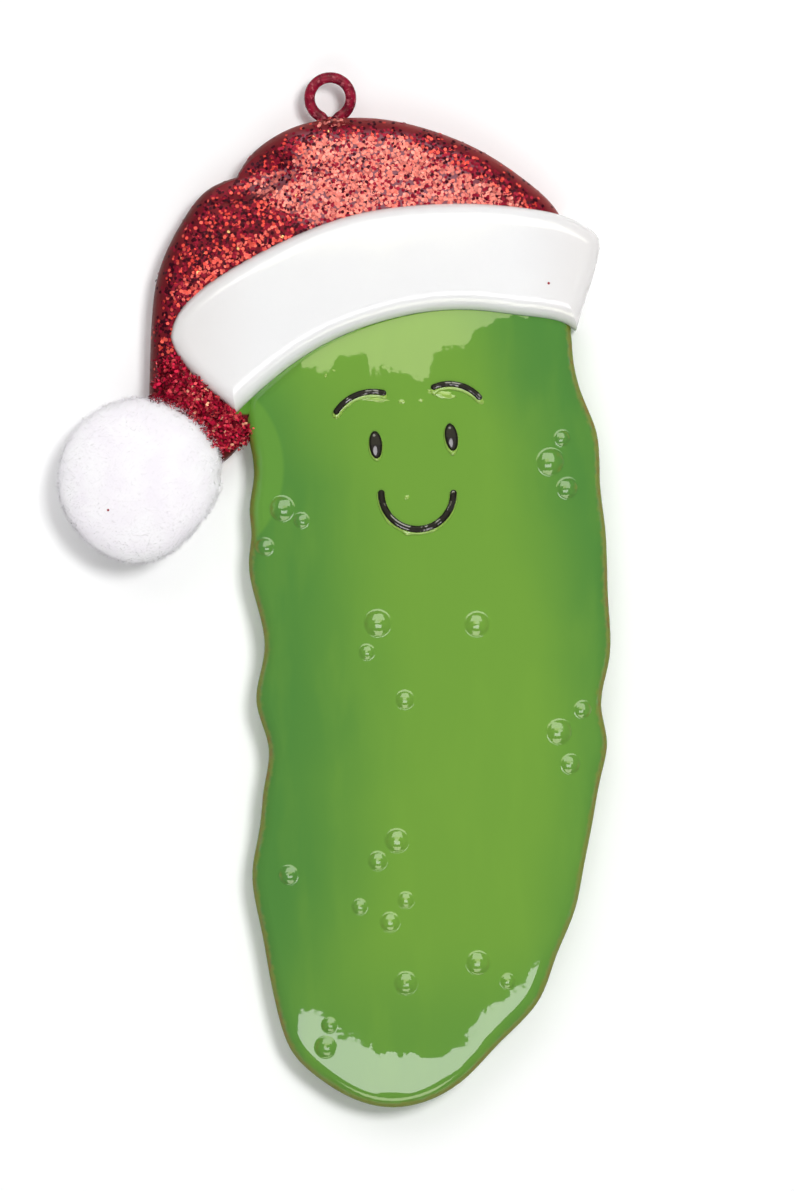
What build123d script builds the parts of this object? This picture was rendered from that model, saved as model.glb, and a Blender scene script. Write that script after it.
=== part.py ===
from build123d import *
import math
import os

os.makedirs("parts", exist_ok=True)

# Pickle ornament wearing a winter hat, in millimetres.
# The origin is the centre of the hanging eye. +X is to the right, +Z is up,
# the painted front faces -Y and the flat back faces +Y.

# Hanging eye
wire_thick = 1.37  # diameter of the bent wire
eye_hole = 3.76  # diameter of the opening
eye_flat = 0.04  # depth of the flat rubbed into the inside of the wire
leg_gap = 0.14  # space between the two legs
leg_bend = 1.0  # centreline radius where a leg turns into the loop
leg_length = 7.0  # straight run of each leg inside the hat

# Pickle casting
back_depth = 3.6  # from the middle of the wire back to the flat back
tongue_thick = 2.4  # casting left under the brim
pickle_wide = 44.2
pickle_tall = 103.7
pickle_in = 12.2  # left edge, inside the hat's left edge
pickle_above = 25.1  # top, above the hat's lower edge
pickle_thick = 9.2
pickle_roll = 2.0  # radius of the rolled front edge
pickle_cross_radius = 96.0  # crown from side to side
pickle_long_radius = 900.0  # crown from end to end
pickle_foot_radius = 24.0  # crown where it turns down at the foot
pickle_foot_reach = 6.0  # length of that stretch
wart_foot = 0.35  # fillet round the foot of a wart
wart_sink_share = 0.7  # share of a wart's ball that lies below the skin, over its middle

# Hat casting
hat_wide = 51.4
hat_tall = 42.6
hat_left = 22.2  # left edge, from the eye
hat_top = 2.5  # highest point, below the eye
hat_thick = 9.0
hat_roll = 3.0
hat_cross_radius = 120.0
hat_long_radius = 150.0
crease_round = 4.0  # largest radius of the hollow between the folds
crease_reach = 11.2  # half length of the spindle that forms the hollow
crease_high = 0.9  # spindle's middle line, in front of the hat's highest point

# Brim casting
brim_wide = 52.5
brim_tall = 25.5
brim_in = 2.7  # left tip, inside the hat's left edge
brim_above = 6.5  # lower edge, above the hat's lower edge
brim_thick = 11.0
brim_roll = 2.4
brim_cross_radius = 130.0
brim_long_radius = 240.0

# Raised enamel of the face
bead_rise = 0.6  # height above the casting
bead_round = 0.3
pupil_wide = 1.6
pupil_tall = 3.4
brow_thick = 0.75
mouth_thick = 0.85
mouth_radius = 4.4
left_eye_lean = 5  # degrees
right_eye_lean = 9

# Pom-pom
pom_wide = 20.4
pom_deep = 14.6
pom_band = 1.0  # straight band round its middle
pom_round = 5.2  # radius of the turn from the band to the shallow caps
pom_out = 1.0  # centre, left of the hat's left edge
pom_below = 1.9  # centre, below the hat's lower edge
pom_clear = 0.2  # kept off the plane of the flat back
pom_gap = 0.3  # from its widest part to the hat
pad_thick = 4.0  # flat pad on the tip of the hat
tie_wide = 4.4  # centreline diameter of the binding thread
tie_thick = 0.8
glue_wide = 5.2
glue_thick = 0.6
glue_across = 5.0  # middle of the glue, right of the pom-pom's centre
glue_up = 4.15

overrun = 2.0

wire_radius = wire_thick / 2
hat_side = -hat_left
hat_foot = -hat_top - hat_tall
hat_middle = hat_side + hat_wide / 2
hat_waist = hat_foot + hat_tall / 2
brim_side = hat_side + brim_in
brim_foot = hat_foot + brim_above
brim_middle = brim_side + brim_wide / 2
brim_waist = brim_foot + brim_tall / 2
pickle_side = hat_side + pickle_in
pickle_foot = hat_foot + pickle_above - pickle_tall
pickle_middle = pickle_side + pickle_wide / 2
pickle_waist = pickle_foot + pickle_tall / 2
pickle_front = back_depth - pickle_thick
hat_front = back_depth - hat_thick
brim_front = back_depth - brim_thick
pad_front = back_depth - pad_thick
pom_x = hat_side - pom_out
pom_z = hat_foot - pom_below
flat_back = Plane.XZ.offset(-back_depth)

# Outlines, as shares of each casting's width and height, from its lower left corner.
# The pickle and the two folds of the hat each run once round, and end under the brim.
pickle_shares = [
    (-0.014, 0.870), (-0.017, 0.837), (-0.006, 0.804), (0.007, 0.778), (0.015, 0.747),
    (0.003, 0.704), (0.008, 0.678), (0.001, 0.647), (0.019, 0.600), (0.044, 0.538),
    (0.022, 0.479), (0.056, 0.425), (0.042, 0.375), (0.031, 0.330), (0.011, 0.280),
    (0.036, 0.209), (0.061, 0.150), (0.083, 0.108), (0.122, 0.065), (0.203, 0.032),
    (0.303, 0.008), (0.397, 0.000), (0.497, 0.008), (0.594, 0.032), (0.697, 0.077),
    (0.808, 0.129), (0.853, 0.179), (0.903, 0.231), (0.931, 0.288), (0.953, 0.335),
    (0.978, 0.393), (0.994, 0.432), (0.978, 0.472), (1.000, 0.529), (0.997, 0.600),
    (0.989, 0.685), (0.975, 0.735), (0.964, 0.799), (0.925, 0.841), (0.900, 0.884),
    (0.892, 0.927), (0.862, 0.964), (0.760, 0.985), (0.503, 0.995), (0.300, 0.985),
    (0.142, 0.955), (0.036, 0.915),
]
upper_fold_shares = [
    (0.995, 0.622), (0.980, 0.720), (0.895, 0.824), (0.811, 0.893), (0.678, 0.963),
    (0.539, 0.999), (0.432, 0.997), (0.360, 0.980), (0.289, 0.939), (0.241, 0.890),
    (0.206, 0.820), (0.190, 0.730), (0.215, 0.620), (0.290, 0.500), (0.450, 0.440),
    (0.700, 0.450), (0.890, 0.490), (0.970, 0.545),
]
lower_fold_shares = [
    (0.310, 0.862), (0.210, 0.830), (0.136, 0.790), (0.088, 0.720), (0.050, 0.640),
    (0.021, 0.548), (0.007, 0.435), (0.002, 0.305), (0.000, 0.202), (0.001, 0.115),
    (0.018, 0.042), (0.062, -0.012), (0.118, -0.020), (0.172, 0.008), (0.212, 0.055),
    (0.238, 0.115), (0.254, 0.200), (0.278, 0.300), (0.330, 0.410), (0.400, 0.540),
    (0.450, 0.700), (0.410, 0.830),
]

brim_upper_shares = [
    (0.000, 0.361), (0.022, 0.487), (0.078, 0.602), (0.167, 0.718), (0.277, 0.834),
    (0.434, 0.949), (0.604, 0.995), (0.721, 0.998), (0.838, 0.976), (0.907, 0.948),
    (0.964, 0.898), (0.992, 0.853), (1.000, 0.786),
]
brim_end_shares = [(1.000, 0.786), (0.990, 0.689), (0.975, 0.590), (0.946, 0.395)]
brim_lower_shares = [
    (0.946, 0.395), (0.921, 0.425), (0.822, 0.464), (0.721, 0.488), (0.625, 0.487),
    (0.483, 0.429), (0.347, 0.313), (0.263, 0.198), (0.155, 0.000),
]
brim_tip_shares = [(0.155, 0.000), (0.071, 0.140), (0.022, 0.255), (0.000, 0.361)]

# Middle of the notch in the hat's edge, and where the crease between the folds dies out
crease_shares = [(0.210, 0.830), (0.365, 0.878)]

# Middles of the eyes and mouth, and three points along each eyebrow, on the pickle
left_eye_share = (0.353, 0.782)
right_eye_share = (0.562, 0.791)
mouth_share = (0.468, 0.725)
left_brow_shares = [(0.244, 0.821), (0.308, 0.842), (0.374, 0.843)]
right_brow_shares = [(0.514, 0.850), (0.576, 0.853), (0.639, 0.838)]

# Warts, as shares of the pickle's width and height, with the foot's share of the width
wart_shares = [
    (0.869, 0.790, 0.052), (0.836, 0.762, 0.083), (0.883, 0.731, 0.066), (0.093, 0.707, 0.077),
    (0.147, 0.693, 0.050), (0.047, 0.662, 0.056), (0.358, 0.572, 0.081), (0.633, 0.571, 0.075),
    (0.328, 0.538, 0.050), (0.433, 0.482, 0.058), (0.861, 0.444, 0.077), (0.926, 0.470, 0.056),
    (0.892, 0.406, 0.061), (0.411, 0.316, 0.072), (0.358, 0.292, 0.059), (0.111, 0.275, 0.061),
    (0.436, 0.246, 0.052), (0.308, 0.238, 0.050), (0.392, 0.220, 0.061), (0.636, 0.172, 0.072),
    (0.436, 0.148, 0.070), (0.719, 0.150, 0.050), (0.225, 0.098, 0.050), (0.214, 0.072, 0.066),
]


# Points in the front plane for shares of a box with this lower left corner
def spread(shares, left, bottom, wide, tall):
    return [(left + across * wide, bottom + up * tall) for across, up in shares]


def on_pickle(shares):
    return spread(shares, pickle_side, pickle_foot, pickle_wide, pickle_tall)


def on_hat(shares):
    return spread(shares, hat_side, hat_foot, hat_wide, hat_tall)


def on_brim(shares):
    return spread(shares, brim_side, brim_foot, brim_wide, brim_tall)


# Half section of a barrel whose skin is the crowned front of a casting
def crown_section(middle, height, front, cross_radius, long_radius, reach):
    spine = front + cross_radius
    end = spine + cross_radius - long_radius + math.sqrt(long_radius**2 - reach**2)
    with BuildSketch(Plane.YZ.offset(middle)) as section:
        with BuildLine():
            Polyline((end, height - reach), (spine, height - reach), (spine, height + reach),
                     (end, height + reach))
            ThreePointArc((end, height + reach), (spine + cross_radius, height),
                          (end, height - reach))
        make_face()
    return section.sketch


# Flat-backed casting with this closed outline, a crowned front and a rolled front edge
def casting(outline, thick, crown, spine, roll):
    with BuildPart() as relief:
        with BuildSketch(flat_back):
            with BuildLine():
                Spline(*outline, periodic=True)
            make_face()
        extrude(amount=thick + overrun)
        revolve(crown, axis=spine, mode=Mode.INTERSECT)
        fillet(relief.faces().sort_by(Axis.Y)[0].edges(), radius=roll)
    return relief.part


pickle_spine = Axis((pickle_middle, pickle_front + pickle_cross_radius, 0), (0, 0, 1))
upper_turn = math.degrees(math.asin(pickle_tall / pickle_long_radius))
lower_turn = math.degrees(math.asin((pickle_tall / 2 - pickle_foot_reach) / pickle_long_radius))
foot_turn = 40


# The pickle's own barrel, this far outside its skin
def pickle_crown(rise):
    middle = (pickle_front - rise, pickle_waist)
    spine = pickle_front + pickle_cross_radius
    with BuildSketch(Plane.YZ.offset(pickle_middle)) as section:
        with BuildLine():
            upper = JernArc(middle, (0, 1), pickle_long_radius + rise, -upper_turn)
            lower = JernArc(middle, (0, -1), pickle_long_radius + rise, lower_turn)
            foot = JernArc(lower @ 1, lower % 1, pickle_foot_radius + rise, foot_turn)
            Polyline(upper @ 1, (spine, (upper @ 1).Y), (spine, (foot @ 1).Y), foot @ 1)
        make_face()
    return section.sketch

with BuildSketch(flat_back) as brim_outline:
    with BuildLine():
        Spline(*on_brim(brim_upper_shares))
        Spline(*on_brim(brim_end_shares))
        Spline(*on_brim(brim_lower_shares))
        Spline(*on_brim(brim_tip_shares))
    make_face()

# The brim sits on a thin tongue of the pickle and the hat
brim_seat = brim_outline.sketch.moved(Location((0, -tongue_thick, 0)))

# Wire bent into a loop with two legs that are cast into the hat
loop_radius = eye_hole / 2 - eye_flat + wire_radius
leg_across = wire_radius + leg_gap / 2
leg_turn = math.acos((leg_across + leg_bend) / (loop_radius + leg_bend))
leg_top = -(loop_radius + leg_bend) * math.sin(leg_turn)
leg_angle = math.degrees(leg_turn)
loop_angle = 180 + 2 * leg_angle

with BuildPart() as hanging_eye:
    with BuildLine(Plane.XZ) as bend:
        near_leg = Line((-leg_across, leg_top - leg_length), (-leg_across, leg_top))
        near_turn = JernArc(near_leg @ 1, near_leg % 1, leg_bend, leg_angle)
        loop = JernArc(near_turn @ 1, near_turn % 1, loop_radius, -loop_angle)
        far_turn = JernArc(loop @ 1, loop % 1, leg_bend, leg_angle)
        Line(far_turn @ 1, (leg_across, leg_top - leg_length))
    with BuildSketch(Plane(origin=bend.line @ 0, z_dir=bend.line % 0)):
        Circle(wire_radius)
    sweep()
    with BuildSketch(Plane.XZ):
        Circle(eye_hole / 2)
    extrude(amount=wire_radius, both=True, mode=Mode.SUBTRACT)
hanging_eye.part.label = "hanging_eye"

# Pickle with a crowned front, rolled edge and warts
with BuildPart() as pickle_body:
    add(casting(on_pickle(pickle_shares), pickle_thick, pickle_crown(0), pickle_spine, pickle_roll))
    extrude(brim_seat, amount=brim_thick, mode=Mode.SUBTRACT)
    smooth_skin = pickle_body.part.shell()
    for across, up, foot in wart_shares:
        middle = (pickle_side + across * pickle_wide, 0, pickle_foot + up * pickle_tall)
        seat, outward = smooth_skin.find_intersection_points(Axis(middle, (0, -1, 0)))[-1]
        wart_ring = foot * pickle_wide / 2 - wart_foot / 2
        wart_reach = wart_ring / math.sqrt(1 - wart_sink_share ** 2)
        with Locations(Plane(seat, z_dir=outward).offset(-wart_sink_share * wart_reach)):
            Sphere(wart_reach)
        ball = pickle_body.faces().filter_by(GeomType.SPHERE).sort_by_distance(seat)[0]
        foot_line = ball.edges().filter_by(GeomType.CIRCLE, reverse=True)
        fillet(foot_line, radius=wart_foot)
pickle_body.part.label = "pickle_body"

# Hat with two folds, a tail that ends in a pad, and holes for the legs of the eye
hat_spine = Axis((hat_middle, hat_front + hat_cross_radius, 0), (0, 0, 1))
hat_barrel = crown_section(hat_middle, hat_waist, hat_front, hat_cross_radius, hat_long_radius,
                           hat_tall)
pom_middle = Plane((pom_x, 0, pom_z), x_dir=(1, 0, 0), z_dir=(0, -1, 0))
notch, crease_end = on_hat(crease_shares)
crease_way = Vector(crease_end[0] - notch[0], 0, crease_end[1] - notch[1])
crease_middle = Vector(notch[0], hat_front - crease_high, notch[1])

with BuildSketch(Plane(crease_middle, x_dir=crease_way, z_dir=(0, -1, 0))) as spindle:
    with BuildLine():
        Line((-crease_reach, 0), (crease_reach, 0))
        ThreePointArc((crease_reach, 0), (0, crease_round), (-crease_reach, 0))
    make_face()

with BuildPart() as hat_crown:
    for fold_shares in (upper_fold_shares, lower_fold_shares):
        add(casting(on_hat(fold_shares), hat_thick, hat_barrel, hat_spine, hat_roll))
    revolve(spindle.sketch, axis=Axis(crease_middle, crease_way), mode=Mode.SUBTRACT)
    extrude(brim_seat, amount=brim_thick, mode=Mode.SUBTRACT)
    with BuildSketch(pom_middle.offset(-pad_front)):
        Circle(pom_wide / 2 + pom_gap)
    extrude(amount=hat_thick, mode=Mode.SUBTRACT)
    add(pickle_body.part, mode=Mode.SUBTRACT)
    add(hanging_eye.part, mode=Mode.SUBTRACT)
hat_crown.part.label = "hat_crown"

# Brim over the seam between the hat and the pickle
brim_spine = Axis((brim_middle, brim_front + brim_cross_radius, 0), (0, 0, 1))

with BuildPart() as hat_brim:
    extrude(brim_outline.sketch, amount=brim_thick + overrun)
    revolve(crown_section(brim_middle, brim_waist, brim_front, brim_cross_radius,
                          brim_long_radius, brim_wide), axis=brim_spine, mode=Mode.INTERSECT)
    fillet(hat_brim.faces().sort_by(Axis.Y)[0].edges(), radius=brim_roll)
    add(pickle_body.part, mode=Mode.SUBTRACT)
    add(hat_crown.part, mode=Mode.SUBTRACT)
    add(hanging_eye.part, mode=Mode.SUBTRACT)
hat_brim.part.label = "hat_brim"


# Enamel bead of this outline that lies on the crowned front of the pickle
def raised_bead(outline):
    with BuildPart() as bead:
        extrude(outline, amount=overrun - pickle_front, dir=(0, -1, 0))
        revolve(pickle_crown(bead_rise), axis=pickle_spine, mode=Mode.INTERSECT)
        fillet(bead.faces().sort_by(Axis.Y)[0].edges(), radius=bead_round)
        add(pickle_body.part, mode=Mode.SUBTRACT)
    return bead.part


def brow(shares):
    with BuildSketch(Plane.XZ) as arch:
        with BuildLine() as bow:
            ThreePointArc(*on_pickle(shares))
        SlotArc(bow.wires()[0], brow_thick)
    return raised_bead(arch.sketch)


def pupil(shares, lean):
    middle = on_pickle([shares])[0]
    with BuildSketch(Plane.XZ) as oval:
        with Locations(middle):
            Ellipse(pupil_wide / 2, pupil_tall / 2, rotation=lean)
    return raised_bead(oval.sketch)


left_eye = pupil(left_eye_share, left_eye_lean)
left_eye.label = "left_eye"
right_eye = pupil(right_eye_share, right_eye_lean)
right_eye.label = "right_eye"
left_eyebrow = brow(left_brow_shares)
left_eyebrow.label = "left_eyebrow"
right_eyebrow = brow(right_brow_shares)
right_eyebrow.label = "right_eyebrow"

mouth_middle = on_pickle([mouth_share])[0]
with BuildSketch(Plane.XZ) as smile:
    with BuildLine() as lips:
        CenterArc(mouth_middle, mouth_radius, -180, 180)
    SlotArc(lips.wires()[0], mouth_thick)
mouth = raised_bead(smile.sketch)
mouth.label = "mouth"

# Pom-pom on its pad, with the thread that binds it and the glue that holds it
pom_depth = back_depth - pom_clear - pom_deep / 2
pom_axis = Axis((pom_x, pom_depth, pom_z), (0, 1, 0))

with BuildPart() as pom_tie:
    with BuildSketch(Plane.XY.offset(pom_z)):
        with Locations((pom_x + tie_wide / 2, pom_depth)):
            Circle(tie_thick / 2)
    revolve(axis=pom_axis)
pom_tie.part.label = "pom_tie"

with BuildPart() as glue_dab:
    with BuildSketch(pom_middle.offset(-pad_front)):
        with Locations((glue_across, glue_up)):
            Circle(glue_wide / 2)
    extrude(amount=glue_thick)
glue_dab.part.label = "glue_dab"

pom_side = pom_x - pom_wide / 2
cap_deep = (pom_deep - pom_band) / 2
inset = pom_wide / 2 - pom_round
cap_radius = (inset**2 + cap_deep**2 - pom_round**2) / (2 * (cap_deep - pom_round))
round_turn = math.degrees(math.atan2(cap_radius - cap_deep, inset))

with BuildPart() as pom_pom:
    with BuildSketch(Plane.XY.offset(pom_z)):
        with BuildLine():
            band = Line((pom_side, pom_depth - pom_band / 2), (pom_side, pom_depth + pom_band / 2))
            back_round = JernArc(band @ 1, (0, 1), pom_round, -round_turn)
            back_cap = JernArc(back_round @ 1, back_round % 1, cap_radius, round_turn - 90)
            front_round = JernArc(band @ 0, (0, -1), pom_round, round_turn)
            front_cap = JernArc(front_round @ 1, front_round % 1, cap_radius, 90 - round_turn)
            Line(front_cap @ 1, back_cap @ 1)
        make_face()
    revolve(axis=pom_axis)
    add(hat_crown.part, mode=Mode.SUBTRACT)
    add(glue_dab.part, mode=Mode.SUBTRACT)
    add(pom_tie.part, mode=Mode.SUBTRACT)
    add(hat_brim.part, mode=Mode.SUBTRACT)
    add(pickle_body.part, mode=Mode.SUBTRACT)
pom_pom.part.label = "pom_pom"

pieces = [
    hanging_eye.part, pickle_body.part, hat_crown.part, hat_brim.part, left_eye, right_eye,
    left_eyebrow, right_eyebrow, mouth, pom_tie.part, glue_dab.part, pom_pom.part,
]
for piece in pieces:
    export_step(piece, f"parts/{piece.label}.step")
    print(piece.label, round(piece.volume, 1), piece.is_valid)
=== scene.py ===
import math
import random

import bmesh
import bpy
from mathutils import Matrix, Vector, noise
from mathutils.bvhtree import BVHTree
from mathutils.kdtree import KDTree


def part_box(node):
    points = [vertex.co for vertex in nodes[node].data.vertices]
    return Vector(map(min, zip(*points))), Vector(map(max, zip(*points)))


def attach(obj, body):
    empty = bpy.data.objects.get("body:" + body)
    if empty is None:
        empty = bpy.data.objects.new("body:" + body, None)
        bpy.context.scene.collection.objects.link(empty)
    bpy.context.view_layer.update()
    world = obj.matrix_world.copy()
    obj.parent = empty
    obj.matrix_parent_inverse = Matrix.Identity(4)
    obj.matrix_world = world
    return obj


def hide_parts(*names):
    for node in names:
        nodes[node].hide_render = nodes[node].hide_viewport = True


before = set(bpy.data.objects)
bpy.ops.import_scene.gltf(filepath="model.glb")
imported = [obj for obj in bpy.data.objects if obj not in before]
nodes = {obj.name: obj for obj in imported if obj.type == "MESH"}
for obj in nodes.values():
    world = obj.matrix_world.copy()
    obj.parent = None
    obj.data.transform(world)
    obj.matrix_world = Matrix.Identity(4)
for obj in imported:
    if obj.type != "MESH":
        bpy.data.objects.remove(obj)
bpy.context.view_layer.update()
mm = 0.001  # tables below are in millimetres


# Shader maths: a Wire is one output socket, a Finish is one material

class Wire:
    def __init__(self, finish, socket):
        self.finish = finish
        self.socket = socket

    def __add__(self, other):
        return self.finish.maths("ADD", self, other)

    def __radd__(self, other):
        return self.finish.maths("ADD", other, self)

    def __sub__(self, other):
        return self.finish.maths("SUBTRACT", self, other)

    def __rsub__(self, other):
        return self.finish.maths("SUBTRACT", other, self)

    def __mul__(self, other):
        return self.finish.maths("MULTIPLY", self, other)

    def __rmul__(self, other):
        return self.finish.maths("MULTIPLY", other, self)

    def __truediv__(self, other):
        return self.finish.maths("DIVIDE", self, other)


class Finish:
    def __init__(self, name, holder=None):
        self.material = holder or bpy.data.materials.new(name)
        self.material.use_nodes = True
        self.tree = self.material.node_tree
        self.tree.nodes.clear()

    def node(self, kind, settings=None, values=None, out=0):
        made = self.tree.nodes.new(kind)
        for key, value in (settings or {}).items():
            if key == "stops":
                while len(made.color_ramp.elements) < len(value):
                    made.color_ramp.elements.new(0.5)
                for element, (place, colour) in zip(made.color_ramp.elements, value):
                    element.position = place
                    element.color = colour if len(colour) == 4 else (*colour, 1)
            else:
                setattr(made, key, value)
        for key, value in (values or {}).items():
            if isinstance(value, Wire):
                self.tree.links.new(value.socket, made.inputs[key])
            else:
                made.inputs[key].default_value = value
        return Wire(self, made.outputs[out]) if len(made.outputs) else None

    def maths(self, operation, *values):
        return self.node("ShaderNodeMath", {"operation": operation}, dict(enumerate(values)))

    def place(self):  # millimetres on the object
        spot = self.node("ShaderNodeTexCoord", out="Object")
        return self.node("ShaderNodeVectorMath", {"operation": "SCALE"}, {0: spot, "Scale": 1 / mm})

    def parts(self, vector):
        split = self.node("ShaderNodeSeparateXYZ", None, {0: vector})
        outputs = split.socket.node.outputs
        return [Wire(self, outputs[axis]) for axis in ("X", "Y", "Z")]

    def stretched(self, vector, scale):
        return self.node("ShaderNodeVectorMath", {"operation": "MULTIPLY"}, {0: vector, 1: scale})

    def grain(self, vector, scale, detail=3.0, roughness=0.5, out="Fac"):
        return self.node("ShaderNodeTexNoise", None, {"Vector": vector, "Scale": scale, "Detail": detail,
                                                      "Roughness": roughness}, out=out)

    def step(self, value, low, high):  # smooth 0 to 1
        return self.node("ShaderNodeMapRange", {"interpolation_type": "SMOOTHSTEP"},
                         {"Value": value, "From Min": low, "From Max": high})

    def mix(self, factor, first, second, way="MIX"):
        return self.node("ShaderNodeMix", {"data_type": "RGBA", "blend_type": way},
                         {0: factor, 6: first, 7: second}, out=2)

    def bump(self, height, depth, normal=None):  # height 0 to 1, depth in millimetres
        values = {"Height": height, "Distance": depth * mm, "Strength": 1.0}
        if normal:
            values["Normal"] = normal
        return self.node("ShaderNodeBump", None, values)

    def surface(self, values):
        shader = self.node("ShaderNodeBsdfPrincipled", None, values)
        self.node("ShaderNodeOutputMaterial", None, {"Surface": shader})
        return self.material


def rgb(red, green, blue, alpha=1.0):
    return (red, green, blue, alpha)


def dress(names, material):
    for name in names:
        slots = nodes[name].material_slots
        for slot in slots:
            slot.material = material


# Green casting: brighter down the middle, olive where the edge rolls over
pickleLook = {
    "heart": rgb(0.166, 0.358, 0.040),
    "flank": rgb(0.080, 0.250, 0.040),
    "glaze": rgb(0.205, 0.410, 0.045),
    "poolAndSheen": rgb(0.128, 0.325, 0.042),
    "sheenPoolMiddle": (-17.0, -45.5),  # middle of a paler green patch beside the hat's tail: enamel pooled there, and it is painted paler as a painted highlight
    "sheenPoolHalf": (11.4, 12.0),
    "olive": rgb(0.200, 0.240, 0.035),
    "rust": rgb(0.240, 0.160, 0.030),
    "back": rgb(0.130, 0.320, 0.060),
    "side": rgb(0.155, 0.300, 0.052),
    "roughness": 0.015,
}


def pickleGreen():
    look = Finish("pickleGreen")
    place = look.place()
    across, deep, up = look.parts(place)
    normal = look.node("ShaderNodeNewGeometry", out="Normal")
    faceX, faceY, faceZ = look.parts(normal)
    cloud = look.grain(place, 0.05, 2.0)
    height = up + 78.0
    middle = 18.0 - height * height * 0.0045
    offset = across - middle + (cloud - 0.5) * 9.0
    reach = look.maths("MAXIMUM", offset / 18.5, offset / -24.0)
    heart = (1.0 - look.step(reach, 0.28, 1.0)) * (1.0 - look.step(0 - up, 101.0, 116.0) * 0.45)
    streak = look.grain(look.stretched(place, (0.24, 0.24, 0.06)), 1.0, 3.0)
    colour = look.mix(heart, pickleLook["flank"], pickleLook["heart"])
    colour = look.mix(look.step(streak, 0.45, 0.75) * 0.20, colour, pickleLook["glaze"])
    # A paler green patch beside the hat's tail: pooled enamel, painted paler as a painted highlight.
    aside = (across - pickleLook["sheenPoolMiddle"][0]) / pickleLook["sheenPoolHalf"][0]
    above = (up - pickleLook["sheenPoolMiddle"][1]) / pickleLook["sheenPoolHalf"][1]
    pooled = 1.0 - look.step(aside * aside + above * above, 0.94, 1.04)
    colour = look.mix(pooled, colour, pickleLook["poolAndSheen"])
    ripple = look.grain(place, 1.1, 2.0)
    rolled = 1.0 - look.step((ripple - 0.5) * 0.4 - faceY, 0.52, 0.82)
    wave = look.grain(place, 0.10, 1.0)
    peel = look.grain(place, 0.42, 2.0)
    swell = look.bump(wave, 0.035)
    skin = look.bump(peel, 0.0035, swell)
    enamel = look.node("ShaderNodeBsdfPrincipled", None, {
        "Base Color": colour, "Roughness": pickleLook["roughness"], "Normal": skin, "IOR": 1.6})
    # On the rolled edge the gloss gives way to a matte olive and brown, chosen by how far the surface turns from
    # the front: partly rubbed paint with brown flecks, partly painted shade of the dark reflection the rolled
    # edge shows.
    rusty = look.step(ripple, 0.44, 0.62) * look.step(cloud, 0.35, 0.6)
    shade = look.mix(rusty, pickleLook["olive"], pickleLook["rust"])
    flat = look.mix(look.step(ripple + cloud, 0.7, 1.2), pickleLook["back"], pickleLook["side"])
    shade = look.mix(look.step(faceY, -0.35, -0.02), shade, flat)
    sanded = look.bump(look.grain(look.stretched(place, (2.0, 2.0, 0.3)), 1.0, 3.0), 0.02)
    worn = look.node("ShaderNodeBsdfPrincipled", None, {
        "Base Color": shade, "Roughness": 0.6, "Specular IOR Level": 0.1, "Normal": sanded})
    both = look.node("ShaderNodeMixShader", None, {0: rolled * 0.95, 1: enamel, 2: worn})
    look.node("ShaderNodeOutputMaterial", None, {"Surface": both})
    return look.material


def brimWhite():
    look = Finish("brimWhite")
    place = look.place()
    across, deep, up = look.parts(place)
    cloud = look.grain(place, 0.07, 3.0)
    colour = look.mix(look.step(cloud, 0.3, 0.75), rgb(0.925, 0.925, 0.93), rgb(0.955, 0.955, 0.95))
    ends = look.maths("MAXIMUM", look.step(across, 21.0, 33.0), look.step(0 - across, 6.0, 19.0))
    colour = look.mix(ends, colour, rgb(0.84, 0.82, 0.81))  # painted shade: the brim is painted greyer towards both ends
    wave = look.grain(place, 0.12, 1.5)
    skin = look.bump(wave, 0.06)
    return look.surface({"Base Color": colour, "Roughness": 0.10, "Normal": skin, "Subsurface Weight": 0.6,
                         "Subsurface Scale": 0.001, "Subsurface Radius": (1.0, 1.0, 1.0)})


def hatRed():
    look = Finish("hatRed")
    place = look.place()
    across, deep, up = look.parts(place)
    cloud = look.grain(place, 0.25, 4.0)
    colour = look.mix(look.step(cloud, 0.3, 0.7), rgb(0.120, 0.007, 0.014), rgb(0.200, 0.014, 0.022))
    normal = look.node("ShaderNodeNewGeometry", out="Normal")
    faceX, faceY, faceZ = look.parts(normal)
    # Painted highlight: a pale mauve glow is painted over the middle of the front of the hat, where the foil
    # catches the light.
    haze = look.step((across + 12.4) * 0.574 + (up + 10.7) * 0.819, -0.5, 2.5)
    haze = haze * (1.0 - look.step(across - up * 0.2, 17.0, 24.0)) * look.step(0 - faceY, 0.1, 0.5)
    drop = look.maths("MAXIMUM", across - 6.0, 0.0)
    haze = haze * look.step(-4.3 - drop * drop * 0.028 - up, -0.6, 0.9)  # starts below the outline
    upperFold = look.step(up - (across + 11.7) * 0.28 + 9.8, -1.0, -0.3)
    haze = haze * (1.0 - upperFold * (1.0 - look.step(across, -6.0, -3.2)))
    colour = look.mix(haze * 0.8, colour, rgb(0.30, 0.120, 0.155))  # painted highlight, a pale mauve glow on the hat's middle
    rolled = (1.0 - look.step(0 - faceY, 0.35, 0.93)) * (1.0 - look.step(faceY, 0.3, 0.7))
    # The rolled edge is painted a brownish red, lighter on the right as rubbed paint and darker towards the left
    # as painted shade.
    rubbed = look.mix(look.step(across, -16.0, 4.0), rgb(0.130, 0.018, 0.016), rgb(0.29, 0.045, 0.040))
    colour = look.mix(rolled * 0.9, colour, rubbed)
    colour = look.mix(look.step(faceY, 0.3, 0.7) * 0.85, colour, rgb(0.280, 0.016, 0.026))  # plain coat behind
    spill = look.step(across, -12.2, -11.8) * look.step(up, -39.0, -38.6)  # green paint run over the tail
    spill = spill * (1.0 - look.step(up, -33.0, -32.0)) * look.step(0 - faceY, -0.2, 0.2)
    colour = look.mix(spill, colour, pickleLook["poolAndSheen"])
    grit = look.grain(place, 3.0, 3.0)
    skin = look.bump(grit, 0.03)
    return look.surface({"Base Color": colour, "Roughness": look.step(grit, 0.2, 0.9) * 0.2 + 0.30,
                         "Normal": skin, "Specular IOR Level": 0.06})


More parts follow.
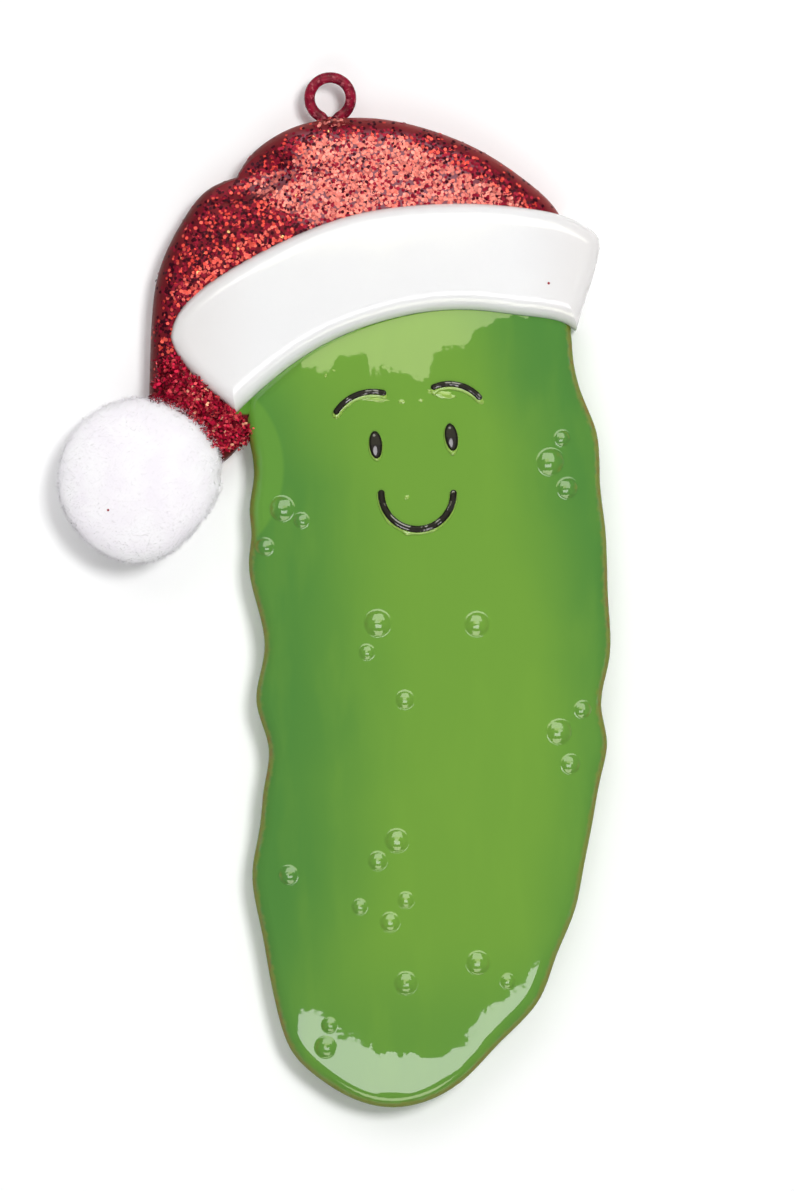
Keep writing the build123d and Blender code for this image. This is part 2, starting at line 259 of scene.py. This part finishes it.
def eyeWire():
    look = Finish("eyeWirePaint")
    place = look.place()
    cloud = look.grain(place, 0.9, 4.0)
    colour = look.mix(look.step(cloud, 0.35, 0.65), rgb(0.125, 0.004, 0.016), rgb(0.290, 0.008, 0.032))
    # Pale pink flecks on the crimson paint: foil specks, and painted highlights.
    fleck = look.grain(place, 2.1, 4.0)
    colour = look.mix(look.step(fleck, 0.53, 0.68) * 0.60, colour, rgb(0.52, 0.12, 0.15))
    lumps = look.grain(place, 1.1, 2.0)
    skin = look.bump(lumps, 0.10)
    return look.surface({"Base Color": colour, "Roughness": 0.16, "Normal": skin, "Specular IOR Level": 0.12})


def blackBead(look, place, shiny, skin):  # dull black with bright wet patches where shiny is 1
    cloud = look.grain(place, 1.6, 3.0)
    colour = look.mix(cloud, rgb(0.004, 0.004, 0.003), rgb(0.016, 0.013, 0.008))
    dull = look.node("ShaderNodeBsdfPrincipled", None, {
        "Base Color": colour, "Roughness": 0.4, "Normal": skin, "Specular IOR Level": 0.12})
    wet = look.node("ShaderNodeBsdfPrincipled", None, {
        "Base Color": colour, "Roughness": 0.06, "Normal": skin, "IOR": 1.9})
    both = look.node("ShaderNodeMixShader", None, {0: shiny, 1: dull, 2: wet})
    look.node("ShaderNodeOutputMaterial", None, {"Surface": both})
    return look.material


def blackEnamel():
    look = Finish("blackEnamel")
    place = look.place()
    skin = look.bump(look.grain(place, 1.2, 1.0), 0.008)
    return blackBead(look, place, look.step(look.grain(place, 0.75, 2.0), 0.50, 0.58), skin)


# Wet patches on each eye, in shares of its half width and half height
eyeGlints = {"low": (-0.08, -0.44, 0.30, 0.34), "high": (-0.25, 0.68, 0.20, 0.09), "slope": 0.24}


def eyeEnamel(name):
    look = Finish(name + "Enamel")
    place = look.place()
    across, deep, up = look.parts(place)
    low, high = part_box(name)
    halfWide, halfTall = (high[0] - low[0]) / 2 / mm, (high[2] - low[2]) / 2 / mm
    aside = (across - (low[0] + high[0]) / 2 / mm) / halfWide
    above = (up - (low[2] + high[2]) / 2 / mm) / halfTall
    torn = (look.grain(place, 1.5, 2.0) - 0.5) * 0.8

    def glint(key):
        x, z, wide, tall = eyeGlints[key]
        fromX, fromZ = (aside - x) / wide, (above - z) / tall
        return 1.0 - look.step(fromX * fromX + fromZ * fromZ + torn, 0.5, 1.5)

    ridge = 0 - look.maths("ABSOLUTE", above)  # falls away above and below the middle
    skin = look.bump(ridge, eyeGlints["slope"] * halfTall)
    return blackBead(look, place, look.maths("MAXIMUM", glint("low") * 0.7, glint("high") * 0.6), skin)


def enamelPool():  # clear green that gathers under the raised beads, painted paler than the casting: the enamel's own colour and a painted reflection
    look = Finish("enamelPool")
    place = look.place()
    cloud = look.grain(place, 1.0, 2.0)
    # Paler than the casting's green: partly pooled enamel, partly painted reflection.
    colour = look.mix(cloud, rgb(0.22, 0.42, 0.055), rgb(0.36, 0.54, 0.10))
    skin = look.bump(cloud, 0.03)
    return look.surface({"Base Color": colour, "Roughness": 0.06, "Normal": skin, "IOR": 1.6})


# Pom-pom: a soft core and thousands of short curled fibres
pomPom = {
    "seed": 7,
    "centre": (-23.13, -3.9, -47.0),
    "half": (10.25, 7.3, 10.25),
    "coreShare": 0.98,
    "fibres": 26000,
    "length": (0.45, 0.85),
    "halfWidth": 0.013,
    "ruffle": 0.15,  # how far a fibre's light strays from the ball's
    "softness": 0.004,  # how far light spreads inside, in metres
    "evenness": 0.36,
}


def pomFibre(name, scatter):
    look = Finish(name)
    place = look.place()
    cloud = look.grain(place, 0.35, 3.0)
    colour = look.mix(look.step(cloud, 0.3, 0.7), rgb(0.905, 0.875, 0.925), rgb(0.935, 0.915, 0.955))
    return look.surface({"Base Color": colour, "Roughness": 0.95, "Sheen Weight": 1.0, "Sheen Roughness": 0.5,
                         "Specular IOR Level": 0.1, "Diffuse Roughness": 1.0, "Subsurface Weight": scatter,
                         "Subsurface Scale": pomPom["softness"], "Subsurface Radius": (1.0, 1.0, 1.0)})


def clearGlue():
    look = Finish("clearGlue")
    place = look.place()
    cloud = look.grain(place, 0.8, 2.0)
    colour = look.mix(cloud, rgb(0.72, 0.70, 0.64), rgb(0.84, 0.82, 0.77))
    skin = look.bump(cloud, 0.05)
    return look.surface({"Base Color": colour, "Roughness": 0.2, "Normal": skin})


def flakeFoil():
    look = Finish("flakeFoil")
    tint = look.node("ShaderNodeAttribute", {"attribute_name": "flakeTint"}, out="Color")
    return look.surface({"Base Color": tint, "Metallic": 0.25, "Roughness": 0.32, "Specular IOR Level": 0.08})


dress(["pickle_body"], pickleGreen())
dress(["hat_brim"], brimWhite())
dress(["hat_crown"], hatRed())
wirePaint = eyeWire()
dress(["hanging_eye"], wirePaint)
dress(["left_eyebrow", "right_eyebrow", "mouth"], blackEnamel())
for eyeName in ("left_eye", "right_eye"):
    dress([eyeName], eyeEnamel(eyeName))
fibreMaterial = pomFibre("pomFibre", 0.0)
coreMaterial = pomFibre("pomCore", 1.0)
dress(["pom_tie"], fibreMaterial)
dress(["glue_dab"], clearGlue())
print("castings painted")


def mergedCopy(name):  # a welded copy of a CAD node's mesh
    mesh = bmesh.new()
    mesh.from_mesh(nodes[name].data)
    bmesh.ops.remove_doubles(mesh, verts=mesh.verts, dist=0.002 * mm)
    bmesh.ops.triangulate(mesh, faces=mesh.faces)
    mesh.faces.ensure_lookup_table()
    return mesh


def newPiece(name, mesh, material):
    data = bpy.data.meshes.new(name)
    mesh.to_mesh(data)
    mesh.free()
    data.materials.append(material)
    piece = bpy.data.objects.new(name, data)
    bpy.context.scene.collection.objects.link(piece)
    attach(piece, "root")
    return piece


# Glitter: small hexagons of red foil laid on the hat, and a heap of them near the pom-pom
glitter = {
    "seed": 41,
    "laid": 15000,
    "paintedGlints": 3000,
    "radius": (0.17, 0.25),
    "heap": 3400,
    "heapRadius": (0.15, 0.23),
    "fringe": 700,
    "batch": 120,
    "bareRim": 1.15,  # smooth paint between the outline and the foil
    "strays": ((26.7, -22.9), (-26.9, -50.6)),
    "loop": (-1.7, 2.6, -3.6, -2.2),  # foil caught round the legs of the eye
    "loopFlakes": 46,
}
hatSkin = mergedCopy("hat_crown")
brimTree = BVHTree.FromBMesh(mergedCopy("hat_brim"))
pickleTree = BVHTree.FromBMesh(mergedCopy("pickle_body"))
hatTree = BVHTree.FromBMesh(hatSkin)
pomTree = BVHTree.FromBMesh(mergedCopy("pom_pom"))
outward = Vector((0, -1, 0))


def covered(point):
    start = point + outward * 0.05 * mm
    if -12.2 < point.x / mm and -38.8 < point.z / mm < -32.5:  # green paint, no foil
        return True
    return any(tree.ray_cast(start, outward)[0] for tree in (brimTree, pomTree, hatTree))


def rimPoints():  # the part of the hat's outline that shows, seen from the front
    shown = []
    for vert in hatSkin.verts:
        beside = vert.co + Vector((vert.normal.x, 0, vert.normal.z)).normalized() * 0.4 * mm
        hidden = brimTree.ray_cast(Vector((vert.co.x, -30 * mm, vert.co.z)), -outward)[0]
        inner = hatTree.ray_cast(Vector((beside.x, -30 * mm, beside.z)), -outward)[0]
        if abs(vert.normal.y) < 0.7 and vert.co.y > 0 and not hidden and not inner:
            shown.append(vert.co)
    tree = KDTree(len(shown))
    for index, spot in enumerate(shown):
        tree.insert((spot.x, 0, spot.z), index)
    tree.balance()
    return tree


hatSkin.normal_update()
rimTree = rimPoints()


def rimDistance(point):
    return rimTree.find((point.x, 0, point.z))[2] / mm


def scatter(faces, count, dice):  # points spread evenly over these faces
    areas = [face.calc_area() for face in faces]
    for face in dice.choices(faces, weights=areas, k=count):
        first, second, third = (corner.vert.co for corner in face.loops)
        one, two = sorted((dice.random(), dice.random()))
        yield first * one + second * (two - one) + third * (1 - two), face.normal.copy()


def tilted(normal, spread, dice):
    lean = Vector((dice.gauss(0, spread), dice.gauss(0, spread), dice.gauss(0, spread)))
    return (normal + lean).normalized()


def flakePlace(point, normal, radius, dice, stretch=1.0):
    turn = normal.to_track_quat("Z", "Y").to_matrix().to_4x4()
    spin = Matrix.Rotation(dice.uniform(0, math.pi), 4, "Z")
    size = Matrix.Diagonal((radius * mm, radius * mm * stretch, radius * mm, 1.0))
    return Matrix.Translation(point) @ turn @ spin @ size


# Flake colours follow the painted highlight share: more bright coral flakes where it is high, more near-black
# flakes where it is low, as painted highlight and painted shade.
def flakeColour(dice, glow):
    dark = 0.42 - 0.34 * glow
    bright = 0.13 + 0.60 * glow
    roll = dice.random()
    depth = dice.uniform(0.7, 1.0)
    if roll < dark:
        return rgb(0.050 * depth, 0.003, 0.010)
    if roll < dark + bright:
        depth = dice.uniform(0.70, 1.05)
        return rgb(0.87 * depth, (0.088 + 0.185 * glow) * depth ** 2, (0.067 + 0.165 * glow) * depth ** 2)
    if roll < 0.998:
        return rgb(0.30 * depth, 0.010 * depth, 0.032 * depth)
    return rgb(0.85, 0.50, 0.20)


def heapColour(dice, x):
    roll = dice.random() - 0.07 * max(0.0, -17.5 - x)
    depth = dice.uniform(0.65, 1.0)
    if roll < 0.16:
        return rgb(0.12 * depth, 0.004, 0.010)
    if roll < 0.68:
        return rgb(0.52 * depth, 0.009 * depth, 0.046 * depth)
    if roll < 0.965:
        return rgb(0.84 * depth, 0.085 * depth, 0.110 * depth)
    return rgb(0.88, 0.40, 0.26)


def layFlakes(name, spots, material):
    whole = bmesh.new()
    whole.verts.layers.float_color.new("flakeTint")
    for start in range(0, len(spots), glitter["batch"]):
        batch = bmesh.new()
        tint = batch.verts.layers.float_color.new("flakeTint")
        for place, colour in spots[start:start + glitter["batch"]]:
            made = bmesh.ops.create_circle(batch, cap_ends=True, segments=6, radius=1.0, matrix=place)
            for corner in made["verts"]:
                corner[tint] = colour
        part = bpy.data.meshes.new("flakeBatch")
        batch.to_mesh(part)
        batch.free()
        whole.from_mesh(part)
        bpy.data.meshes.remove(part)
    return newPiece(name, whole, material)


def glitterSpots():
    dice = random.Random(glitter["seed"])
    front = [face for face in hatSkin.faces if face.normal.y < -0.12]
    spots = []
    for point, normal in scatter(front, glitter["laid"], dice):
        if covered(point):
            continue
        facing = -normal.y
        inside = rimDistance(point) - glitter["bareRim"] + dice.gauss(0, 0.25)
        if dice.random() > (0.25 + 0.75 * facing ** 3) * (1.0 if inside > 0 else 0.12):
            continue
        lie = tilted(normal, 0.10, dice)
        radius = dice.uniform(*glitter["radius"])
        lift = dice.uniform(0.03, 0.12)
        glow = glowShare(point)
        spots.append((flakePlace(point + normal * lift * mm, lie, radius, dice), flakeColour(dice, glow)))
    # Extra tilted flakes painted bright coral, facing the front and mostly on the middle of the hat: painted
    # glints.
    for point, normal in scatter(front, glitter["paintedGlints"], dice):
        glow = glowShare(point)
        if covered(point) or dice.random() > max(0.0, -normal.y) ** 4 * (0.22 + 0.78 * glow):
            continue
        if rimDistance(point) < glitter["bareRim"] and dice.random() > 0.10:
            continue
        lie = tilted(normal, 0.28, dice)
        radius = dice.uniform(*glitter["radius"]) * 1.08
        colour = flakeColour(dice, 1.0) if glow > 0.5 else rgb(0.80, 0.10, 0.075)
        spots.append((flakePlace(point + normal * 0.16 * mm, lie, radius, dice), colour))
    # The flakes round the legs of the eye get the brightest colours, a painted highlight.
    left, right, low, high = glitter["loop"]
    for index in range(glitter["loopFlakes"]):
        start = Vector((dice.uniform(left, right), -30, dice.uniform(low, high))) * mm
        hits = [tree.ray_cast(start, -outward) for tree in (hatTree, globTree)]
        for point, normal in [hit[:2] for hit in hits if hit[0]][:1]:
            lie = tilted(normal, 0.4, dice)
            spots.append((flakePlace(point + outward * 0.2 * mm, lie, 0.26, dice), flakeColour(dice, 1.0)))
    for x, z in glitter["strays"]:
        start = Vector((x, -30, z)) * mm
        hits = [tree.ray_cast(start, -outward) for tree in (brimTree, pomTree)]
        point, normal = min((hit for hit in hits if hit[0]), key=lambda hit: hit[0].y)[:2]
        spots.append((flakePlace(point + normal * 0.06 * mm, normal, 0.17, dice), rgb(0.30, 0.02, 0.04)))
    return spots


def glowShare(point):  # painted highlight: how bright the flakes are painted, most on the middle of the hat
    x, z = point.x / mm, point.z / mm
    patchy = noise.noise(Vector((x, 0, z)) * 0.28) * 0.8
    above = z + 9.8 - (x + 11.7) * 0.28  # from the crease between the folds
    if above > 0:
        rise = (x + 4.6 - max(0.0, z + 7.0) * 0.9) / 1.6
    else:
        rise = ((x + 12.4) * 0.574 + (z + 10.7) * 0.819) / 2.2
        if x < -4.6:  # the crease lies in its own shade
            rise = min(rise, (-above - 0.3) / 0.7)
    inside = (rimDistance(point) - 1.7 - 0.8 * min(1.0, max(0.0, (x - 8.0) / 10.0))) / 1.1
    hem = 0.38 if x < -6.0 and z > -25.0 and brimTree.find_nearest(point)[3] < 2.2 * mm else 0.0
    return max(hem, min(1.0, rise + patchy, inside + patchy, 1.15 + patchy), 0.0)


def globPiece():  # paint that fills the crotch between the legs of the eye
    mesh = bmesh.new()
    bmesh.ops.create_icosphere(mesh, subdivisions=4, radius=1.0)
    for vert in mesh.verts:
        vert.co *= 1.0 + noise.noise(vert.co * 1.7) * 0.16
    bmesh.ops.scale(mesh, verts=mesh.verts, vec=Vector(eyeGlob["half"]) * mm)
    bmesh.ops.translate(mesh, verts=mesh.verts, vec=Vector(eyeGlob["centre"]) * mm)
    for face in mesh.faces:
        face.smooth = True
    mesh.normal_update()
    tree = BVHTree.FromBMesh(mesh)
    newPiece("eyeGlob", mesh, wirePaint)
    return tree


eyeGlob = {"centre": (0.1, 0.0, -3.0), "half": (1.7, 0.72, 0.72)}
globTree = globPiece()
foil = flakeFoil()
laid = glitterSpots()
layFlakes("hatGlitter", laid, foil)
print("glitter laid", len(laid))


# Green enamel gathered under the black beads of the face
pools = {
    "grow": 0.11,
    "fall": 0.15,
    "browFall": 0.26,
    "ripple": 0.45,
    "sink": 0.20,
    "swell": 0.14,  # how high a drip stands
    # drips: across, up, half width, half height, slope
    "drips": ((0.8, -39.1, 0.42, 0.40, 0.0), (5.4, -36.95, 1.75, 0.36, 0.12), (8.75, -37.3, 0.42, 0.26, 0.0),
              (11.1, -37.2, 0.28, 0.20, 0.0), (13.4, -36.35, 1.55, 0.44, 0.22), (18.5, -37.3, 0.30, 0.36, 0.0),
              (9.4, -49.0, 0.30, 0.28, 0.0), (-0.5, -34.1, 0.14, 0.20, 0.5), (0.5, -33.5, 0.22, 0.12, 0.3)),
}


def dripShape(mesh, x, z, halfWide, halfTall, slope):
    start = Vector((x, -30, z)) * mm
    point, normal = pickleTree.ray_cast(start, -outward)[:2]
    made = bmesh.ops.create_icosphere(mesh, subdivisions=4, radius=1.0)
    turn = normal.to_track_quat("Y", "Z").to_matrix()
    for vert in made["verts"]:
        ragged = 1.0 + noise.noise(vert.co * 1.6 + Vector((x, 0, z))) * 0.55
        across, up = vert.co.x * halfWide * ragged, vert.co.z * halfTall * ragged
        local = Vector((across - up * slope, vert.co.y * pools["swell"], up + across * slope))
        vert.co = point + turn @ local * mm


def poolPieces():
    whole = bmesh.new()
    for name in ("left_eye", "right_eye", "left_eyebrow", "right_eyebrow", "mouth"):
        bead = mergedCopy(name)
        bead.normal_update()
        fall = pools["browFall"] if name.endswith("brow") else pools["fall"]
        for vert in bead.verts:
            side = Vector((vert.normal.x, 0, vert.normal.z))
            ripple = max(0.0, noise.noise(vert.co / mm * 0.9)) * pools["ripple"]
            vert.co += side * pools["grow"] * mm + Vector((0, pools["sink"], -fall - ripple)) * mm
        part = bpy.data.meshes.new("poolPart")
        bead.to_mesh(part)
        bead.free()
        whole.from_mesh(part)
        bpy.data.meshes.remove(part)
    for drip in pools["drips"]:
        dripShape(whole, *drip)
    for face in whole.faces:
        face.smooth = True
    newPiece("facePools", whole, enamelPool())


poolPieces()
print("enamel pooled")


# Heap of glitter on the tail, over the end of the brim and the pickle's shoulder
heapZone = {
    "upper": ((-22.4, -33.4), (-19.5, -31.4), (-18.4, -32.0), (-16.2, -34.1), (-14.1, -36.4),
              (-12.0, -38.2), (-10.9, -39.4), (-9.8, -40.8)),
    "lower": ((-22.4, -37.0), (-20.6, -37.5), (-18.5, -39.0), (-16.7, -40.6), (-14.6, -42.1),
              (-13.3, -43.0), (-12.0, -42.8), (-9.8, -42.2)),
}


def alongLine(line, x):
    for (x0, z0), (x1, z1) in zip(line, line[1:]):
        if x0 <= x <= x1:
            return z0 + (z1 - z0) * (x - x0) / (x1 - x0)


def heapSpots():
    dice = random.Random(glitter["seed"] + 1)
    first, last = heapZone["upper"][0][0], heapZone["upper"][-1][0]
    middle = Vector(pomPom["centre"])
    spots = []
    while len(spots) < glitter["heap"]:
        x = dice.uniform(first, last)
        z = dice.uniform(alongLine(heapZone["lower"], x), alongLine(heapZone["upper"], x))
        z += dice.gauss(0, 0.25)
        start = Vector((x * mm, -30 * mm, z * mm))
        hits = [tree.ray_cast(start, -outward) for tree in (hatTree, brimTree, pickleTree)]
        hits = [hit for hit in hits if hit[0]]
        if not hits or math.hypot(x - middle.x, z - middle.z) < pomPom["half"][0] - 0.25:
            continue
        point, normal = min(hits, key=lambda hit: hit[0].y)[:2]
        if point.y > -0.2 * mm:  # down a side wall
            continue
        if x < -18.5 and (normal.y > -0.75 or dice.random() < (-18.5 - x) * 0.16):
            continue  # the heap thins out towards the hat's left edge
        lie = tilted(normal, 0.7, dice)
        lift = abs(dice.gauss(0, 0.42)) + 0.05
        radius = dice.uniform(*glitter["heapRadius"])
        stretch = dice.uniform(0.5, 1.6)
        place = flakePlace(point + normal * lift * mm, lie, radius, dice, stretch)
        spots.append((place, heapColour(dice, x)))
    for index in range(glitter["fringe"]):  # slivers caught in the edge of the pom-pom
        turn = dice.uniform(0.42, 2.05)
        reach = dice.gauss(1.005, 0.020)
        deep = dice.uniform(-0.34, 0.02)
        way = Vector((math.cos(turn), deep, math.sin(turn))).normalized()
        spot = Vector(pomPom["centre"]) + Vector(way[i] * pomPom["half"][i] * reach for i in range(3))
        if not hatTree.ray_cast(Vector((spot.x, -30, spot.z)) * mm, -outward)[0] and turn > 0.62:
            continue
        place = flakePlace(spot * mm, tilted(way, 0.9, dice), 0.10, dice, dice.uniform(2.0, 3.6))
        spots.append((place, heapColour(dice, spot.x)))
    return spots


layFlakes("tailGlitter", heapSpots(), foil)
print("tail glitter heaped")


def pomReach(way):  # the ball is pressed flat towards the pickle and has a small notch there
    flat = max(0.0, way.x * 0.77 - way.z * 0.64)
    hollow = max(0.0, -way.x * 0.80 - way.z * 0.60)
    notch = max(0.0, 1.0 - abs(math.atan2(way.z, way.x) - 0.06) / 0.13) * max(0.0, way.x)
    return 1.0 - 0.13 * flat ** 6 - 0.02 * hollow ** 8 - 0.045 * notch


def ballNormal(point):
    shift = point - Vector(pomPom["centre"]) * mm
    return Vector(shift[i] / (pomPom["half"][i] * mm) ** 2 for i in range(3)).normalized()


def evenNormal(point):  # light passes between fibres, so the ball looks flatter than it is
    way = ballNormal(point)
    return Vector((way.x * pomPom["evenness"], way.y, way.z * pomPom["evenness"])).normalized()


def fibreNormals(points, dice):  # each fibre catches the light its own way
    normals = []
    for index, vert in enumerate(points):
        if index % 8 == 0:  # a fibre has eight corners
            stray = Vector((dice.gauss(0, 1), dice.gauss(0, 1), dice.gauss(0, 1))) * pomPom["ruffle"]
        normals.append((evenNormal(vert.co) + stray).normalized())
    return normals


def pomPomPieces():
    dice = random.Random(pomPom["seed"])
    centre = Vector(pomPom["centre"]) * mm
    half = Vector(pomPom["half"]) * mm
    core = bmesh.new()
    bmesh.ops.create_icosphere(core, subdivisions=6, radius=1.0)
    for vert in core.verts:
        way = vert.co.normalized()
        lump = noise.noise(way * 3.0) * 0.008 + noise.noise(way * 14.0) * 0.010
        reach = (pomPom["coreShare"] + lump) * pomReach(way)
        vert.co = centre + Vector(way[i] * half[i] * reach for i in range(3))
    curve = bpy.data.curves.new("pomPomFibres", "CURVE")
    curve.dimensions = "3D"
    curve.extrude = pomPom["halfWidth"] * mm
    for index in range(pomPom["fibres"]):
        way = Vector((dice.gauss(0, 1), dice.gauss(0, 1), dice.gauss(0, 1))).normalized()
        reach = (pomPom["coreShare"] - 0.015) * pomReach(way)
        root = centre + Vector(way[i] * half[i] * reach for i in range(3))
        lean = Vector((dice.gauss(0, 0.9), dice.gauss(0, 0.9), dice.gauss(0, 0.9)))
        bend = Vector((dice.gauss(0, 0.7), dice.gauss(0, 0.7), dice.gauss(0, 0.7)))
        length = dice.uniform(*pomPom["length"]) * mm
        spline = curve.splines.new("POLY")
        spline.points.add(3)
        for step, point in enumerate(spline.points):
            share = step / 3
            spot = root + (way + lean * share + bend * share * share).normalized() * length * share
            point.co = (*spot, 1.0)
            point.tilt = dice.uniform(0, math.pi)
    holder = bpy.data.objects.new("pomPomFibreCurve", curve)
    bpy.context.scene.collection.objects.link(holder)
    bpy.context.view_layer.update()
    strands = bpy.data.meshes.new_from_object(holder)
    bpy.data.objects.remove(holder)
    nap = bmesh.new()
    nap.from_mesh(strands)
    for face in nap.faces:
        if ballNormal(face.calc_center_median()).dot(face.normal) < 0:
            face.normal_flip()
    for face in [*core.faces, *nap.faces]:
        face.smooth = True
    body = newPiece("pomPomFluff", core, coreMaterial)
    fluff = newPiece("pomPomNap", nap, fibreMaterial)
    body.data.normals_split_custom_set_from_vertices([evenNormal(vert.co) for vert in body.data.vertices])
    fluff.data.normals_split_custom_set_from_vertices(fibreNormals(fluff.data.vertices, dice))
    fluff.visible_shadow = False  # fibres this fine let the light through
    return body, fluff


ball, nap = pomPomPieces()
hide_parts("pom_pom")
print("pom-pom fluffed")


# Studio: a pale wall just behind the flat back, softboxes and a camera
studio = {
    "wallBehind": 4.6,  # behind the middle of the wire
    "wallHalf": 900.0,
    "distance": 1100.0,
    "frameHeight": 146.1,
    "aim": (8.2, 0.0, -61.0),
    "airLight": 0.22,
    "cardAhead": 1200.0,
    "tear": 5.0,  # how far a card's torn edge wanders
}
# Reflector cards in front of the piece: a torn edge is a line of points, across and up the card.
# The top card shows above its edge and the foot card below it.
cards = {
    "topCard": {"box": (-430.0, 480.0, 70.0, 420.0), "radiance": 3.4, "tint": (1.0, 0.96, 0.60), "side": 1,
                "edge": ((-430, 104), (-361, 104), (-198, 109), (-188, 99), (-120, 98), (-89, 104), (-46, 101),
                         (8, 91), (28, 99), (47, 110), (140, 121), (226, 131), (300, 155), (480, 215))},
    "capCard": {"box": (-1070.0, 1090.0, 425.0, 2200.0), "radiance": 3.9, "tint": (1.0, 1.0, 0.85)},
    "footCard": {"box": (-440.0, 452.0, -760.0, -220.0), "radiance": 5.3, "tint": (1.0, 0.95, 1.0), "side": -1,
                 "edge": ((-440, -285), (-359, -281), (-270, -295), (-116, -303), (25, -306), (133, -290),
                          (230, -276), (326, -259), (390, -247), (452, -243))},
    "lowCard": {"box": (-930.0, 950.0, -3800.0, -1500.0), "radiance": 4.0, "tint": (1.0, 1.0, 0.75)},
}


def wallMaterial():
    look = Finish("wallPaper")
    rays = look.node("ShaderNodeLightPath", out="Is Camera Ray")
    shade = look.node("ShaderNodeLightPath", out="Is Shadow Ray")
    geometry = look.node("ShaderNodeNewGeometry", out="Backfacing")
    paper = look.node("ShaderNodeBsdfDiffuse", None, {"Color": rgb(0.98, 0.98, 0.98)})
    glow = look.node("ShaderNodeEmission", None, {"Color": rgb(1, 1, 1), "Strength": rays * 0.04})
    front = look.node("ShaderNodeAddShader", None, {0: paper, 1: glow})
    clear = look.node("ShaderNodeBsdfTransparent")
    through = look.maths("MAXIMUM", geometry, shade)  # the lamp behind reaches the back of the piece
    both = look.node("ShaderNodeMixShader", None, {0: through, 1: front, 2: clear})
    look.node("ShaderNodeOutputMaterial", None, {"Surface": both})
    return look.material


def buildStudio():
    aim = Vector(studio["aim"]) * mm
    wallMesh = bmesh.new()
    facing = Matrix.Translation((aim.x, studio["wallBehind"] * mm, aim.z)) @ Matrix.Rotation(math.pi / 2, 4, "X")
    bmesh.ops.create_grid(wallMesh, x_segments=2, y_segments=2, size=studio["wallHalf"] * mm, matrix=facing)
    data = bpy.data.meshes.new("studioWall")
    wallMesh.to_mesh(data)
    wallMesh.free()
    data.materials.append(wallMaterial())
    wall = bpy.data.objects.new("studioWall", data)
    bpy.context.scene.collection.objects.link(wall)

    air = Finish("studioAir", bpy.data.worlds.new("studioAir"))
    seen = air.node("ShaderNodeLightPath", out="Is Camera Ray")
    level = seen * (1.0 - studio["airLight"]) + studio["airLight"]
    tent = air.node("ShaderNodeBackground", None, {"Color": rgb(1, 1, 1), "Strength": level})
    air.node("ShaderNodeOutputWorld", None, {"Surface": tent})
    bpy.context.scene.world = air.material

    def lampAt(name, spot, turn, wide, tall, radiance):
        light = bpy.data.lights.new(name, "AREA")
        light.shape = "RECTANGLE"
        light.size = wide
        light.size_y = tall
        light.energy = radiance * math.pi * wide * tall  # watts for this radiance
        lamp = bpy.data.objects.new(name, light)
        lamp.location = spot
        lamp.rotation_euler = turn
        lamp.visible_camera = False
        bpy.context.scene.collection.objects.link(lamp)
        return lamp

    def softbox(name, azimuth, elevation, distance, wide, tall, share):  # share of the light on a surface
        turn = math.radians(azimuth)
        rise = math.radians(elevation)
        way = Vector((math.sin(turn) * math.cos(rise), -math.cos(turn) * math.cos(rise), math.sin(rise)))
        radiance = share * math.pi * distance ** 2 / (wide * tall * abs(way.y))
        facing = way.to_track_quat("Z", "Y").to_euler()
        lampAt(name, aim + way * distance, facing, wide, tall, radiance).visible_glossy = False

    def reflector(name, box, radiance, tint, edge=None, side=1):
        left, right, low, high = box
        middle = Vector(((left + right) / 2, -studio["cardAhead"], (low + high) / 2)) * mm
        size = ((right - left) * mm, (high - low) * mm)
        lamp = lampAt(name, middle, (math.pi / 2, 0, 0), *size, radiance)
        lamp.visible_diffuse = False
        lamp.data.color = tint
        if edge:
            card = Finish(name, lamp.data)
            spot = card.node("ShaderNodeNewGeometry", out="Position")
            spot = card.node("ShaderNodeVectorMath", {"operation": "SCALE"}, {0: spot, "Scale": 1 / mm})
            across, deep, up = card.parts(spot)
            stops = [((x - left) / (right - left), rgb(*[(z - low) / (high - low)] * 3)) for x, z in edge]
            line = card.node("ShaderNodeValToRGB", {"stops": stops}, {0: (across - left) / (right - left)})
            torn = card.grain(card.stretched(spot, (1.0, 1.0, 4.0)), 0.022, 2.0, 0.55) - 0.5
            limit = line * (high - low) + torn * (4 * studio["tear"]) + low
            shown = card.step((up - limit) * side, -0.3, 0.3)
            light = card.node("ShaderNodeEmission", None, {"Strength": shown})
            card.node("ShaderNodeOutputLight", None, {"Surface": light})

    softbox("keyBox", 13, 10, 1.3, 0.24, 0.24, 0.53)
    softbox("topBox", -9, 30, 1.3, 0.80, 0.60, 0.17)
    softbox("footBox", -4, -25, 1.3, 0.80, 0.60, 0.15)
    softbox("backBox", 165, 20, 1.3, 0.80, 0.60, 0.22)
    for name, card in cards.items():
        reflector(name, **card)

    camera = bpy.data.cameras.new("camera")
    camera.lens = 36.0 * studio["distance"] / studio["frameHeight"]
    camera.sensor_width = 36.0
    camera.clip_start = 0.05
    camera.clip_end = 20.0
    eye = bpy.data.objects.new("camera", camera)
    eye.location = aim + Vector((0, -studio["distance"] * mm, 0))
    eye.rotation_euler = (math.pi / 2, 0, 0)
    bpy.context.scene.collection.objects.link(eye)
    bpy.context.scene.camera = eye
    bpy.context.scene.view_settings.view_transform = "Standard"


buildStudio()
print("studio built")
